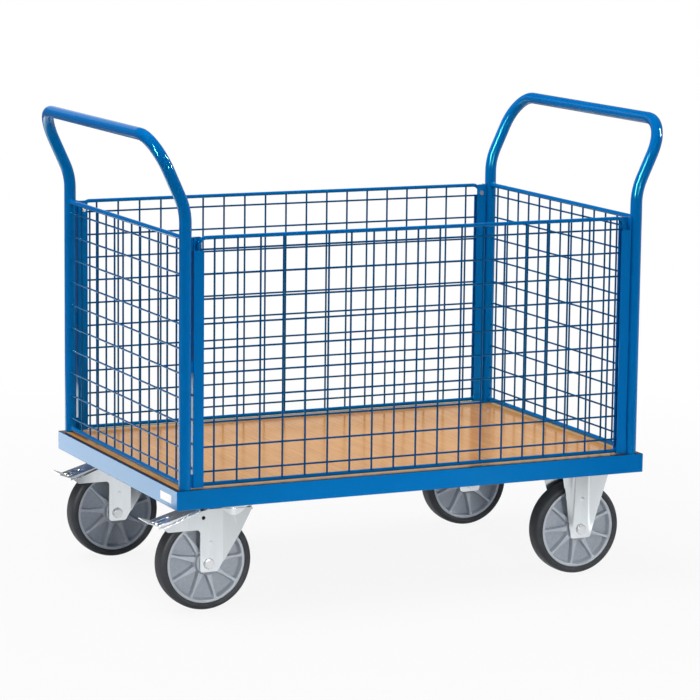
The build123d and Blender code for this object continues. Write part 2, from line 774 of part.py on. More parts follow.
    # The pedal lies along the sloping top edges of the cheeks and ends in an upturned lip
    def pedal_top(x):
        return horn_root_z + pedal_above_horn + pedal_slope * (x - horn_root)

    pedal_width = cheek_gap - 2 * pedal_side_gap
    back_x = -trail - pedal_back
    outer_x = -trail - pedal_outer
    lip_x = outer_x - pedal_lip_reach
    lip_z = pedal_top(outer_x) + pedal_lip_rise
    shoe_radius = wheel_radius + shoe_tyre_gap
    shoe_points = []
    for share in (0.0, 0.5, 1.0):
        angle = math.radians(shoe_start_angle + share * (shoe_end_angle - shoe_start_angle))
        shoe_x = -trail + shoe_radius * math.cos(angle)
        shoe_points.append((shoe_x, wheel_radius + shoe_radius * math.sin(angle)))
    shoe_back = (shoe_points[0][0], pedal_top(shoe_points[0][0]) - pedal_thickness / 2)
    shoe_outer = (shoe_points[2][0], pedal_top(shoe_points[2][0]) - pedal_thickness / 2)
    pedal_plane = Plane(origin=(swivel_x, centre_y, 0), x_dir=(1, 0, 0), z_dir=(0, -1, 0))
    with BuildPart() as pedal:
        with BuildSketch(pedal_plane):
            with BuildLine():
                Polyline(
                    (back_x, pedal_top(back_x)),
                    (outer_x, pedal_top(outer_x)),
                    (lip_x, lip_z),
                    (lip_x, lip_z - pedal_thickness),
                    (outer_x, pedal_top(outer_x) - pedal_thickness),
                    (back_x, pedal_top(back_x) - pedal_thickness),
                    close=True,
                )
            make_face()
        extrude(amount=pedal_width / 2, both=True)
        slot_x = -trail - pedal_slot_middle
        slot_reach = 2 * pedal_slot_length * pedal_slope + 4 * pedal_thickness
        slot_place = (swivel_x + slot_x, centre_y, pedal_top(slot_x) - slot_reach / 2)
        with BuildSketch(Plane(origin=slot_place)):
            SlotOverall(pedal_slot_length, pedal_slot_width)
        extrude(amount=slot_reach, mode=Mode.SUBTRACT)
        with BuildSketch(pedal_plane):
            with BuildLine():
                Line(shoe_back, shoe_points[0])
                ThreePointArc(*shoe_points)
                Line(shoe_points[2], shoe_outer)
                Line(shoe_outer, shoe_back)
            make_face()
        extrude(amount=shoe_half_width, both=True)
        # A flange hangs from each side of the pedal and widens into an ear round the pin
        for sy in (-1, 1):
            flange_y = centre_y + sy * pedal_width / 2
            with BuildSketch(Plane(origin=(swivel_x, flange_y, 0), x_dir=(1, 0, 0), z_dir=(0, -1, 0))):
                with BuildLine():
                    Polyline(
                        (back_x, pedal_top(back_x) - pedal_thickness / 2),
                        (outer_x, pedal_top(outer_x) - pedal_thickness / 2),
                        (outer_x, pedal_top(outer_x) - pedal_flange_depth),
                        (back_x, pedal_top(back_x) - pedal_flange_depth),
                        close=True,
                    )
                make_face()
                pin_place = (-trail - pedal_pin_back, pivot_z)
                with Locations(pin_place):
                    Circle(pedal_ear_radius)
                with BuildLine():
                    ear_back = pin_place[0] + pedal_ear_radius
                    ear_outer = pin_place[0] - 3 * pedal_ear_radius
                    Polyline(
                        (ear_back, pivot_z),
                        (ear_back, pedal_top(ear_back) - pedal_thickness / 2),
                        (ear_outer, pedal_top(ear_outer) - pedal_thickness / 2),
                        (pin_place[0], pivot_z - pedal_ear_radius),
                        close=True,
                    )
                make_face()
                with Locations(pin_place):
                    Circle(pedal_pin_diameter / 2 + running_gap, mode=Mode.SUBTRACT)
            extrude(amount=sy * pedal_ear_thickness)
    save(pedal, f"brake_pedal_{name}")


def fixed_castor(name, centre_y, rib_angle):
    """One fixed castor: bracket with flared legs, axle and wheel."""
    leg_inner = cheek_gap / 2
    leg_bottom = wheel_radius - bracket_below_axle
    wing_bottom = wheel_radius - bracket_wing_below_axle
    flare_top = plate_width / 2 - bracket_leg_top_inset
    fold_x = bracket_fold_half_width
    low_x = bracket_bottom_half_width
    high_x = bracket_top_half_width
    with BuildPart() as bracket:
        # The flat middles of the two legs, with the axle hole through both
        with BuildSketch(Plane(origin=(fixed_x, centre_y, 0), x_dir=(1, 0, 0), z_dir=(0, -1, 0))) as leg:
            with BuildLine():
                Polyline(
                    (-low_x, leg_bottom),
                    (low_x, leg_bottom),
                    (low_x, wing_bottom),
                    (fold_x, wing_bottom),
                    (fold_x, plate_bottom),
                    (-fold_x, plate_bottom),
                    (-fold_x, wing_bottom),
                    (-low_x, wing_bottom),
                    close=True,
                )
            make_face()
            fillet(leg.vertices().group_by(Axis.Y)[0], bracket_corner_radius)
            with Locations((0, wheel_radius)):
                Circle(axle_diameter / 2 + axle_hole_clearance, mode=Mode.SUBTRACT)
        extrude(amount=cheek_outer, both=True)
        with BuildSketch(Plane(origin=(fixed_x, centre_y, leg_bottom))):
            Rectangle(2 * plate_length, cheek_gap)
        extrude(amount=plate_bottom - leg_bottom, mode=Mode.SUBTRACT)
        # The wings beside each leg open outwards as they rise to the plate
        for sx in (-1, 1):
            for sy in (-1, 1):
                with BuildSketch(Plane(origin=(fixed_x, centre_y, wing_bottom))):
                    Polygon(
                        (sx * fold_x, sy * leg_inner),
                        (sx * fold_x, sy * cheek_outer),
                        (sx * low_x, sy * cheek_outer),
                        (sx * low_x, sy * leg_inner),
                        align=None,
                    )
                with BuildSketch(Plane(origin=(fixed_x, centre_y, plate_bottom))):
                    Polygon(
                        (sx * fold_x, sy * leg_inner),
                        (sx * fold_x, sy * cheek_outer),
                        (sx * high_x, sy * flare_top),
                        (sx * high_x, sy * (flare_top - cheek_thickness)),
                        align=None,
                    )
                loft(ruled=True)
        with BuildSketch(Plane(origin=(fixed_x, centre_y, plate_bottom))):
            RectangleRounded(plate_length, plate_width, plate_corner_radius)
            with Locations(*bolt_grid):
                Circle(bolt_diameter / 2 + bolt_hole_clearance, mode=Mode.SUBTRACT)
        extrude(amount=plate_thickness)
    save(bracket, f"fixed_bracket_{name}")
    axle_set(f"fixed_{name}", fixed_x, centre_y)
    wheel(f"fixed_{name}", fixed_x, centre_y, rib_angle)


swivel_castor("front", -castor_y, rib_angle_swivel_front)
swivel_castor("rear", castor_y, rib_angle_swivel_rear)
fixed_castor("front", -castor_y, rib_angle_fixed_front)
fixed_castor("rear", castor_y, rib_angle_fixed_rear)
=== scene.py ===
"""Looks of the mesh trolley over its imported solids: finishes, wheels, fasteners, welds and the studio.

Metres, +Z up, in the frame of the solids. The long front side faces -Y.
"""

import math

import bmesh
import bpy
from mathutils import Matrix, Vector


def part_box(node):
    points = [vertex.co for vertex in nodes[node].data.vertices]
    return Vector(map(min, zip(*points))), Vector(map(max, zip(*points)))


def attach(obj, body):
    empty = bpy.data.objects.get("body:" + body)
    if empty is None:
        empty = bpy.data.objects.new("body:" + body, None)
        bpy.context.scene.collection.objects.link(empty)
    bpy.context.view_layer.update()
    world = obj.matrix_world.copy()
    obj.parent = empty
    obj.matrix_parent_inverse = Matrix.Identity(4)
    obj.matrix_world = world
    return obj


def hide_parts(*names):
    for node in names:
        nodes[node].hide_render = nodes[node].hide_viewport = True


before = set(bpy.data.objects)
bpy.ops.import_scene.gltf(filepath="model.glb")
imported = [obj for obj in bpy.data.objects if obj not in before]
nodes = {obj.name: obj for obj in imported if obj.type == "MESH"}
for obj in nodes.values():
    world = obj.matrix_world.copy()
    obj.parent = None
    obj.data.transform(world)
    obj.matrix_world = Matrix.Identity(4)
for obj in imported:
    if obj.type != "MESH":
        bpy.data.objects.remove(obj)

scene = bpy.context.scene
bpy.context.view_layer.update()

mm = 0.001
sides = {"front": -1, "rear": 1}
ends = ("left", "right")
castor_kinds = ("swivel", "fixed")

# Camera, from the photograph's view, with its angles in degrees
camera_place = Vector((-2.8388, -6.1173, 1.5750))
camera_azimuth = -24.934
camera_elevation = 9.317
camera_roll = 0.649
camera_lens = 163.18
camera_reach = 200.0
sensor_width = 36.0

# Soft lamps that no reflection shows, as a place, a size across and a power
aim_point = Vector((0.0, 0.0, 0.45))
soft_lamps = {
    "front": ((-0.4, -4.3, 2.8), 1.0, 26.0),
    "right": ((3.2, -1.15, 2.75), 1.0, 30.0),
    "top": ((-1.5, 0.6, 4.0), 3.2, 150.0),
}

# Cards that only reflections show, as a place, a width, a height and a power
cards = {
    "left_card": ((-2.9, -1.4, 2.0), 0.3, 1.9, 420.0),
    "front_card": ((-0.05, -3.9, 2.57), 0.12, 0.8, 26.0),
    "right_card": ((2.95, -1.05, 2.67), 0.2, 1.6, 250.0),
    "low_card": ((-0.06, -4.25, 1.02), 0.16, 0.6, 85.0),
    "back_card": ((-0.5, 1.5, 1.5), 0.85, 0.5, 0.55),
}

# Low spot towards the castors, and a glow up from the floor behind the left end
low_place, low_aim = (-0.8, -5.0, 1.2), Vector((0.0, -0.3, 0.1))
low_angle, low_radius, low_power = 20.0, 0.5, 400.0
glow_place, glow_width, glow_length, glow_power = (-1.25, 1.4, 0.02), 1.0, 1.6, 10.5

# Nodes with one of these words in their names get no light from the cards and the low spot
shaded_words = ("deck_board", "_panel_", "_uprights", "_cross_wires", "end_rods")

# World: its plain light, and what reflections show of it from front to back, upwards and across
ambient_strength = 0.30
front_reflection, back_reflection = 0.06, 0.75
haze_low, haze_high, haze_over = 0.2, 0.34, 0.1
haze_left, haze_right = -0.05, 0.2
plain_white = (1.0, 1.0, 1.0, 1.0)

# Floor, which the camera sees as white away from the trolley
floor_half_size = 30.0
floor_drop = 0.3 * mm
floor_albedo = 0.6
floor_near, floor_far = 0.9, 2.4
floor_near_white, floor_far_white = 0.9, 1.0

# Floor in reflections: it fades forwards and backwards, with slanted bands as a place and a whiteness
paper_full, paper_end, paper_end_white = -0.9, -2.0, 0.4
paper_back, paper_back_end, paper_back_white = 1.7, 2.6, 0.12
paper_slant, paper_reach = 0.268, 1.2
paper_bands = (
    (-1.2, 0.5), (-0.8, 0.85), (-0.56, 0.82), (-0.49, 1.1), (-0.42, 0.94), (0.22, 0.9),
    (0.34, 1.7), (0.42, 0.95), (0.55, 0.97), (0.66, 0.4), (0.75, 0.45), (0.87, 0.8),
)

# Colours of the finishes, from dark to light, and where their clouds start and end
cloud_start, cloud_end = 0.3, 0.7
coat_colours = (0.0, 0.156, 0.500), (0.0, 0.166, 0.530)
# The wires wear the same blue coat, darker as painted shade
wire_painted_shade_colours = (0.0, 0.090, 0.27), (0.0, 0.100, 0.30)
coat_tint = (0.08, 0.62, 0.45, 1.0)
wood_dark, wood_middle, wood_light = (0.70, 0.295, 0.043), (0.755, 0.338, 0.058), (0.81, 0.385, 0.080)
grain_dark, grain_middle, grain_light = (0.84, 0.76, 0.66), (0.98, 0.97, 0.96), (1.04, 1.07, 1.14)
underside_shade_greys = 0.20, 0.25
rubber_colours = (0.046, 0.050, 0.057), (0.064, 0.069, 0.077)
cage_colours = (0.56, 0.56, 0.53), (0.64, 0.64, 0.61)
# Rim colours by height: painted shade on the web, painted highlight on the rib tops and the lip, and a
# darker hub
web_painted_shade_colour, rib_foot_painted_shade_colour = (0.44, 0.48, 0.535), (0.47, 0.51, 0.57)
rib_painted_highlight_colour, hub_colour = (0.60, 0.645, 0.70), (0.36, 0.39, 0.43)
label_greys = 0.88, 0.93

# Metals, as their darkest and lightest colour and their roughness
metals = {
    "zinc_plated_steel_finish": ((0.67, 0.71, 0.74), (0.74, 0.78, 0.805), 0.16),
    "zinc_fasteners_finish": ((0.60, 0.61, 0.63), (0.74, 0.75, 0.76), 0.3),
    "burnished_screw_finish": ((0.62, 0.635, 0.65), (0.74, 0.75, 0.76), 0.22),
    # The pedals' zinc, lighter than the rest as painted reflection
    "zinc_plated_pedal_finish": ((0.74, 0.77, 0.79), (0.82, 0.845, 0.86), 0.24),
    # The washers' zinc, darker than the bolt heads as painted shade round them
    "zinc_washer_painted_shade_finish": ((0.48, 0.495, 0.51), (0.56, 0.575, 0.59), 0.25),
    # The spring leaves, near black as painted shade in the pedals' slots
    "spring_leaf_painted_shade_finish": ((0.016, 0.017, 0.019), (0.03, 0.031, 0.034), 0.4),
}

# Painted shade: dark grey under the board, and a dark line on the board's edge and the rails' top edge
# where they meet
underside_shade_thickness = 0.5 * mm
rail_painted_shade_depth, rail_painted_shade_blend, rail_painted_shade_level = 0.7 * mm, 0.3 * mm, 0.12
board_painted_shade_width, board_painted_shade_blend, board_painted_shade_level = 5.0 * mm, 1.5 * mm, 0.1
coat_sheen, board_sheen = 0.5, 0.4

# Edge rounding of the bars and the sheet metal, for the nodes whose names start so
rail_edge, sheet_edge = 0.5 * mm, 0.7 * mm
rail_starts = ("frame_rail", "channel_", "castor_beam", "centre_beam")
sheet_starts = ("fork", "castor_plate", "brake_pedal", "clamp_screws", "castor_nuts")
merge_distance = 0.01 * mm
edge_segments = 2
edge_angle = math.radians(40)
facet_angle = math.radians(12)

# Wheel rims
rim_half_width = 19.5 * mm
rim_lip_radius = 85.0 * mm
rim_seat_radius = 84.0 * mm
rim_lip_width = 2.5 * mm
rim_lip_round = 1.2 * mm
rim_inner_radius = 79.0 * mm
rim_wall_draft = 2.0 * mm
rim_wall_rows = 4
rim_web_half = 5.0 * mm
rim_web_fillet = 3.0 * mm
rim_web_rows = 14
rim_bore_radius = 13.0 * mm
rim_bore_chamfer = 1.0 * mm
hub_radius = 25.0 * mm
hub_draft = 1.5 * mm
hub_half_length = 28.5 * mm
hub_edge = 1.6 * mm
hub_face_margin = 3.0 * mm
hub_above_ribs = 1.0 * mm

# Ribs of the rims, with the most of its sector that a rib's top and foot may take
rib_count = 9
rib_sector = math.pi / rib_count
rib_angles = {"swivel_front": 6.0, "swivel_rear": 14.0, "fixed_front": 21.0, "fixed_rear": -1.0}
rib_top = 17.5 * mm
rib_width_at_hub = 12.0 * mm
rib_width_at_rim = 3.6 * mm
rib_taper = 2.2
rib_flare_at_rim, rib_flare_start = 3.0 * mm, 0.85
rib_side_run = 1.6 * mm
rib_top_limit, rib_foot_limit = 0.55, 0.85

# Steps across a rib's sector: half a gap, a flank, the top, a flank and half a gap
rib_steps = (6, 4, 3, 4, 6)

# Tyres
tyre_segments = 180
tyre_radius = 100.0 * mm
tyre_half_width = 22.5 * mm
tyre_shoulder = 9.0 * mm
tyre_seat_gap, tyre_lip_gap = 0.1 * mm, 0.2 * mm
tyre_bead_taper = 2.5 * mm
tyre_bead_round, tyre_bead_shift = 1.0 * mm, 0.6 * mm
tyre_side_height = 6.0 * mm
tyre_ring_radius = 91.0 * mm
tyre_ring_half, tyre_ring_sink = 0.9 * mm, 0.2 * mm
tyre_crown = 0.7 * mm
tread_edge_share, tread_edge_drop = 0.35, 0.15 * mm
tread_middle_share = 0.02

# Axle bolts, with their washer face, sleeve and lock nut
axle_radius, axle_segments = 6.0 * mm, 36
axle_flats = 18.0 * mm
axle_head_height = 6.0 * mm
axle_nut_height = 8.0 * mm
nut_hexagon_height = 0.72 * axle_nut_height
collar_radius, collar_top_radius = 0.45 * axle_flats, 0.38 * axle_flats
collar_round, collar_overlap, tip_overlap = 1.2 * mm, 0.3 * mm, 0.5 * mm
cheek_outer = 34.0 * mm
cheek_inner = 30.0 * mm
sleeve_radius, sleeve_segments = 9.0 * mm, 48
washer_radius, washer_thickness = 11.5 * mm, 1.4 * mm
hexagon_segments = 72
hexagon_face_share = 0.485
hexagon_chamfer = math.radians(30)
thread_pitch = 1.75 * mm
thread_depth = 0.5 * mm
thread_steps = 8

# Pressed legs and plates of the fixed brackets
leg_top = 234.0 * mm
wing_bottom = 91.0 * mm
leg_low_half, leg_high_half = 24.5 * mm, 57.0 * mm
leg_flare = 20.0 * mm
leg_corner = 7.0 * mm
fold_half, fold_blend = 19.5 * mm, 4.5 * mm
leg_columns, leg_rows = 60, 24
plate_corner = 8.0 * mm
corner_steps = 6

# Slot of the pedals, and the spring leaf under it as places along the slot and their dip
slot_x, slot_z = -531.0 * mm, 191.6 * mm
pedal_slope, pedal_thickness = 0.29, 3.0 * mm
leaf_half, leaf_thickness = 7.0 * mm, 1.2 * mm
leaf_half_length, leaf_knee, leaf_knee_dip, leaf_dip = 18.0 * mm, 13.0 * mm, 1.6 * mm, 2.2 * mm

# Pressed beads beside the pedals' slot
press_offset, press_half_length = 8.5 * mm, 19.0 * mm
press_half_width, press_height = 3.2 * mm, 1.8 * mm
press_steps, press_points = 16, 16
press_bluntness, press_least = 6, 0.02

# Punch marks on the castors, from the wheel's middle, and their profile as a height and a radius
mark_places = {"swivel": (4.4 * mm, 43.4 * mm), "fixed": (2.4 * mm, 66.0 * mm)}
mark_profile = (
    (0.02 * mm, 4.8 * mm),
    (-0.06 * mm, 3.8 * mm),
    (-0.13 * mm, 2.6 * mm),
    (-0.16 * mm, 0.9 * mm),
)
mark_segments = 24

# Welds of the end rods to the posts
post_radius = 12.5 * mm
weld_radius = 1.4 * mm
weld_ripple = 0.25 * mm
weld_pitch = 1.8 * mm
weld_offset = 0.4 * mm
weld_rings, weld_points = 72, 10
weld_reference = Vector((0.3, 0.5, 0.81))

# Blank label on the left end rail
label_middle = (-291.0 * mm, 245.0 * mm)
label_length, label_height, label_corner = 60.0 * mm, 17.0 * mm, 1.5 * mm
label_thickness, label_sink = 0.3 * mm, 0.05 * mm


def middle(name):
    """The middle of a node's box."""
    low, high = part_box(name)
    return (low + high) / 2


def feed(tree, target, inputs):
    """Give a shader node its inputs, each a number, a colour or another node's output."""
    for name, value in inputs.items():
        if isinstance(value, bpy.types.NodeSocket):
            tree.links.new(value, target.inputs[name])
        else:
            target.inputs[name].default_value = value


def add(tree, kind, inputs=None, **settings):
    """Add a shader node with its settings and its inputs."""
    made = tree.nodes.new(kind)
    for name, value in settings.items():
        setattr(made, name, value)
    feed(tree, made, inputs or {})
    return made


def calc(tree, operation, *values):
    """The result of a math operation on numbers and outputs."""
    return add(tree, "ShaderNodeMath", dict(enumerate(values)), operation=operation).outputs[0]


def times(tree, colour, *factors):
    """A colour times each of the factors, which are colours or numbers."""
    for factor in factors:
        inputs = {0: colour, 1: factor}
        colour = add(tree, "ShaderNodeVectorMath", inputs, operation="MULTIPLY").outputs[0]
    return colour


def between(tree, value, start, end, at_start=0.0, at_end=1.0):
    """A value mapped in a straight line between two places, and held beyond them."""
    inputs = {"Value": value, "From Min": start, "From Max": end, "To Min": at_start, "To Max": at_end}
    return add(tree, "ShaderNodeMapRange", inputs).outputs[0]


def ramp(tree, factor, *stops):
    """A colour ramp over a factor, with stops of a place and a colour or a grey value."""
    made = add(tree, "ShaderNodeValToRGB", {"Fac": factor})
    elements = made.color_ramp.elements
    while len(elements) < len(stops):
        elements.new(0.5)
    for element, (place, colour) in zip(elements, stops):
        element.position = place
        grey = isinstance(colour, float)
        element.color = (colour, colour, colour, 1.0) if grey else (*colour, 1.0)
    return made.outputs["Color"]


def spread(tree, factor, low, high):
    """A change from one colour or grey value to another over the middle of a noise."""
    return ramp(tree, factor, (cloud_start, low), (cloud_end, high))


def coordinates(tree, kind="Object"):
    """The X, Y and Z outputs of a texture coordinate."""
    place = add(tree, "ShaderNodeTexCoord").outputs[kind]
    return add(tree, "ShaderNodeSeparateXYZ", {"Vector": place}).outputs


def noise(tree, scale, stretch=(1, 1, 1), detail=3.0, roughness=0.5):
    """Noise over the object's own coordinates, in features per metre times the stretch along each axis."""
    place = add(tree, "ShaderNodeTexCoord").outputs["Object"]
    mapped = add(tree, "ShaderNodeMapping", {"Vector": place, "Scale": stretch}).outputs["Vector"]
    inputs = {"Vector": mapped, "Scale": scale, "Detail": detail, "Roughness": roughness}
    return add(tree, "ShaderNodeTexNoise", inputs).outputs["Fac"]


def bump(tree, height, strength, distance):
    """Bump from a height."""
    inputs = {"Height": height, "Strength": strength, "Distance": distance}
    return add(tree, "ShaderNodeBump", inputs).outputs["Normal"]


def material(name):
    """A new material with its node tree and its principled shader."""
    made = bpy.data.materials.new(name)
    made.use_nodes = True
    return made, made.node_tree, made.node_tree.nodes["Principled BSDF"]


def powder_coat(name, colours, dark_above=None):
    """Gloss blue powder coat with a faint orange peel, with a band of painted shade, dark and dull, above a
    height if one is given.
    """
    made, tree, shader = material(name)
    colour = spread(tree, noise(tree, 9.0), *colours)
    sheen = coat_sheen
    if dark_above is not None:
        # Painted shade: dark and dull at the top of the rail, where it meets the board
        height = coordinates(tree)["Z"]
        unshaded_share = between(tree, height, dark_above, dark_above + rail_painted_shade_blend, 1.0, rail_painted_shade_level)
        colour = times(tree, colour, unshaded_share)
        sheen = calc(tree, "MULTIPLY", unshaded_share, coat_sheen)
    peel = noise(tree, 320.0, detail=1.0)
    looks = {
        "Base Color": colour,
        "Roughness": spread(tree, noise(tree, 40.0), 0.08, 0.1),
        "Normal": bump(tree, peel, strength=0.006, distance=0.1 * mm),
        "Specular IOR Level": sheen,
        "Specular Tint": coat_tint,
    }
    feed(tree, shader, looks)
    return made


def beech():
    """Lacquered beech veneer with the grain across the trolley, with painted shade in dark grey underneath.
    """
    made, tree, shader = material("beech_board_finish")
    low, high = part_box("deck_board")
    place = coordinates(tree)

    # Veneer from broad bands, fine streaks and short dark flecks
    bands = noise(tree, 30.0, stretch=(1, 0.07, 1), detail=4.0)
    streaks = noise(tree, 210.0, stretch=(1, 0.03, 1), detail=4.0, roughness=0.7)
    flecks = noise(tree, 800.0, stretch=(1, 0.09, 1), detail=1.0)
    wood = ramp(tree, bands, (0.25, wood_dark), (0.5, wood_middle), (0.75, wood_light))
    fine = ramp(tree, streaks, (0.34, grain_dark), (0.5, grain_middle), (0.66, grain_light))
    dark = ramp(tree, flecks, (0.26, grain_dark), (0.36, 1.0))
    veneer = times(tree, wood, fine, dark)

    # Painted shade: a dark grey film on the lowest layer of the board, standing in for the shade under it
    film = spread(tree, noise(tree, 70.0), *underside_shade_greys)
    above = between(tree, place["Z"], low.z, low.z + underside_shade_thickness)
    layers = add(tree, "ShaderNodeMix", {"Factor": above, "A": film, "B": veneer}, data_type="RGBA")

    # Painted shade: a dark line along the edge, where the board meets the rails
    half_size = (high - low) / 2
    margins = []
    for axis, half in (("X", half_size.x), ("Y", half_size.y)):
        margins.append(calc(tree, "SUBTRACT", half, calc(tree, "ABSOLUTE", place[axis])))
    margin = calc(tree, "MINIMUM", *margins)
    clear = between(tree, margin, board_painted_shade_width, board_painted_shade_width + board_painted_shade_blend, board_painted_shade_level, 1.0)
    looks = {
        "Base Color": times(tree, layers.outputs["Result"], clear),
        "Roughness": spread(tree, streaks, 0.15, 0.21),
        "Normal": bump(tree, streaks, strength=0.05, distance=0.1 * mm),
        "Specular IOR Level": calc(tree, "MULTIPLY", clear, board_sheen),
    }
    feed(tree, shader, looks)
    return made


def metal(name):
    """Metal with soft clouds and fine drawing marks."""
    made, tree, shader = material(name)
    low, high, rough = metals[name]
    cloud = noise(tree, 24.0, stretch=(1, 1, 0.4))
    marks = noise(tree, 260.0, stretch=(1, 1, 0.1), detail=2.0)
    looks = {
        "Base Color": spread(tree, cloud, low, high),
        "Roughness": ramp(tree, marks, (0.25, rough - 0.03), (0.75, rough + 0.04)),
        "Normal": bump(tree, cloud, strength=0.03, distance=0.3 * mm),
        "Metallic": 1.0,
    }
    feed(tree, shader, looks)
    return made


def rubber():
    """Dark grey tyre rubber with a fine moulded grain."""
    made, tree, shader = material("grey_rubber_tyre_finish")
    grain = noise(tree, 1400.0, detail=2.0)
    looks = {
        "Base Color": spread(tree, noise(tree, 30.0, detail=5.0), *rubber_colours),
        "Roughness": spread(tree, noise(tree, 120.0), 0.46, 0.6),
        "Normal": bump(tree, grain, strength=0.15, distance=0.15 * mm),
        "Specular IOR Level": 0.12,
    }
    feed(tree, shader, looks)
    return made


def spark_grain(tree):
    """Bump of the fine grain of moulded plastic."""
    return bump(tree, noise(tree, 1700.0, detail=2.0), strength=0.12, distance=0.1 * mm)


def cage_plastic():
    """Moulded plastic of the bearing cages."""
    made, tree, shader = material("bearing_cage_finish")
    looks = {
        "Base Color": spread(tree, noise(tree, 26.0, detail=4.0), *cage_colours),
        "Roughness": spread(tree, noise(tree, 90.0), 0.36, 0.46),
        "Normal": spark_grain(tree),
    }
    feed(tree, shader, looks)
    return made


def rim_plastic():
    """Moulded rim plastic, with painted highlight on the ribs and the lip, painted shade down on the web,
    and darker up the hub.
    """
    made, tree, shader = material("grey_rim_plastic_finish")
    wheel_y = middle("rim_swivel_rear").y
    trolley_y = calc(tree, "ABSOLUTE", coordinates(tree)["Y"])
    raised = calc(tree, "ABSOLUTE", calc(tree, "SUBTRACT", trolley_y, wheel_y))
    height = between(tree, raised, rim_web_half, hub_half_length)
    rib_share = (rib_top - rim_web_half) / (hub_half_length - rim_web_half)
    # Painted light by height: shade down on the web, highlight on the rib tops and the lip, darker up the
    # hub
    painted_relief_light = ramp(
        tree,
        height,
        (0.0, web_painted_shade_colour),
        (0.7 * rib_share, rib_foot_painted_shade_colour),
        (rib_share, rib_painted_highlight_colour),
        (1.25 * rib_share, rib_painted_highlight_colour),
        (1.4 * rib_share, hub_colour),
    )
    cloud = spread(tree, noise(tree, 26.0, detail=4.0), 0.95, 1.0)
    mottle = ramp(tree, noise(tree, 380.0, detail=2.0), (0.35, 0.9), (0.65, 1.06))
    looks = {
        "Base Color": times(tree, painted_relief_light, cloud, mottle),
        "Roughness": spread(tree, noise(tree, 90.0), 0.34, 0.44),
        "Normal": spark_grain(tree),
        "Specular IOR Level": 0.25,
    }
    feed(tree, shader, looks)
    return made


def label_film():
    """Plain white film."""
    made, tree, shader = material("white_label_film")
    looks = {
        "Base Color": spread(tree, noise(tree, 60.0), *label_greys),
        "Roughness": spread(tree, noise(tree, 300.0), 0.1, 0.16),
    }
    feed(tree, shader, looks)
    return made


finishes = {
    "blue_powder_coat": powder_coat("blue_powder_coat_finish", coat_colours),
    "beech_board": beech(),
    "zinc_plated_steel": metal("zinc_plated_steel_finish"),
    "zinc_fasteners": metal("zinc_fasteners_finish"),
    "grey_rubber_tyre": rubber(),
    "grey_rim_plastic": rim_plastic(),
    "bearing_cage": cage_plastic(),
}
rail_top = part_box("frame_rail_left")[1].z
wire_painted_shade_finish = powder_coat("blue_powder_coat_on_wire_painted_shade", wire_painted_shade_colours)
pedal_painted_light_finish = metal("zinc_plated_pedal_finish")
washer_painted_shade_finish = metal("zinc_washer_painted_shade_finish")
leaf_painted_shade_finish = metal("spring_leaf_painted_shade_finish")
label_finish = label_film()
special_finishes = {
    "_uprights": wire_painted_shade_finish,
    "_cross_wires": wire_painted_shade_finish,
    "frame_rail": powder_coat("blue_powder_coat_on_rail_painted_shade", coat_colours, dark_above=rail_top - rail_painted_shade_depth),
    "brake_pedal": pedal_painted_light_finish,
    "clamp_screws": metal("burnished_screw_finish"),
}

# Every solid takes the finish of its material slot, or a special one by a word in its name
for name, node in nodes.items():
    slot_name = node.data.materials[0].name.split(".")[0]
    finish = finishes[slot_name]
    for word, special in special_finishes.items():
        if word in name:
            finish = special
    node.data.materials[0] = finish


def soften(node, width):
    """Round a solid's sharp edges by a small width."""
    weld = node.modifiers.new("weld", "WELD")
    weld.merge_threshold = merge_distance
    bevel = node.modifiers.new("bevel", "BEVEL")
    bevel.width = width
    bevel.segments = edge_segments
    bevel.limit_method = "ANGLE"
    bevel.angle_limit = edge_angle
    normals = node.modifiers.new("normals", "WEIGHTED_NORMAL")
    normals.keep_sharp = True


for name, node in nodes.items():
    if name.startswith(rail_starts):
        soften(node, rail_edge)
    elif name.startswith(sheet_starts):
        soften(node, sheet_edge)


def outward(mesh):
    """Turn a closed mesh's faces outwards."""
    work = bmesh.new()
    work.from_mesh(mesh)
    bmesh.ops.recalc_face_normals(work, faces=work.faces)
    work.to_mesh(mesh)
    work.free()


def piece(name, rows, body, slot_name, finish=None, loop=False, sharp=edge_angle):
    """A closed mesh from rings of points, riding on a body, with its slot's finish or its own.

    Each ring is joined to the next. A loop joins the last to the first, and otherwise both ends are capped.
    """
    count = len(rows[0])
    vertices = [tuple(point) for row in rows for point in row]
    faces = []
    for r in range(len(rows) if loop else len(rows) - 1):
        low, high = r * count, (r + 1) % len(rows) * count
        for i in range(count):
            j = (i + 1) % count
            faces.append((low + i, low + j, high + j, high + i))
    if not loop:
        faces.append(tuple(reversed(range(count))))
        faces.append(tuple(range(len(vertices) - count, len(vertices))))
    mesh = bpy.data.meshes.new(name)
    mesh.from_pydata(vertices, [], faces)
    mesh.shade_smooth()
    mesh.set_sharp_from_angle(angle=sharp)
    mesh.materials.append(finish or finishes[slot_name])
    outward(mesh)
    made = bpy.data.objects.new(name, mesh)
    scene.collection.objects.link(made)
    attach(made, body)
    return made


def joined(first, *others):
    """Join pieces on one body into the first."""
    with bpy.context.temp_override(active_object=first, selected_editable_objects=[first, *others]):
        bpy.ops.object.join()
    return first


def ring(centre, radius, along, segments):
    """A ring of points about an axis along Y."""
    points = []
    for i in range(segments):
        angle = 2 * math.pi * i / segments
        points.append(centre + Vector((radius * math.cos(angle), along, radius * math.sin(angle))))
    return points


def arc(centre, radius, start, end, steps):
    """Points of an arc in a profile, from one angle in degrees to another."""
    points = []
    for i in range(steps + 1):
        angle = math.radians(start + (end - start) * i / steps)
        points.append((centre[0] + radius * math.cos(angle), centre[1] + radius * math.sin(angle)))
    return points


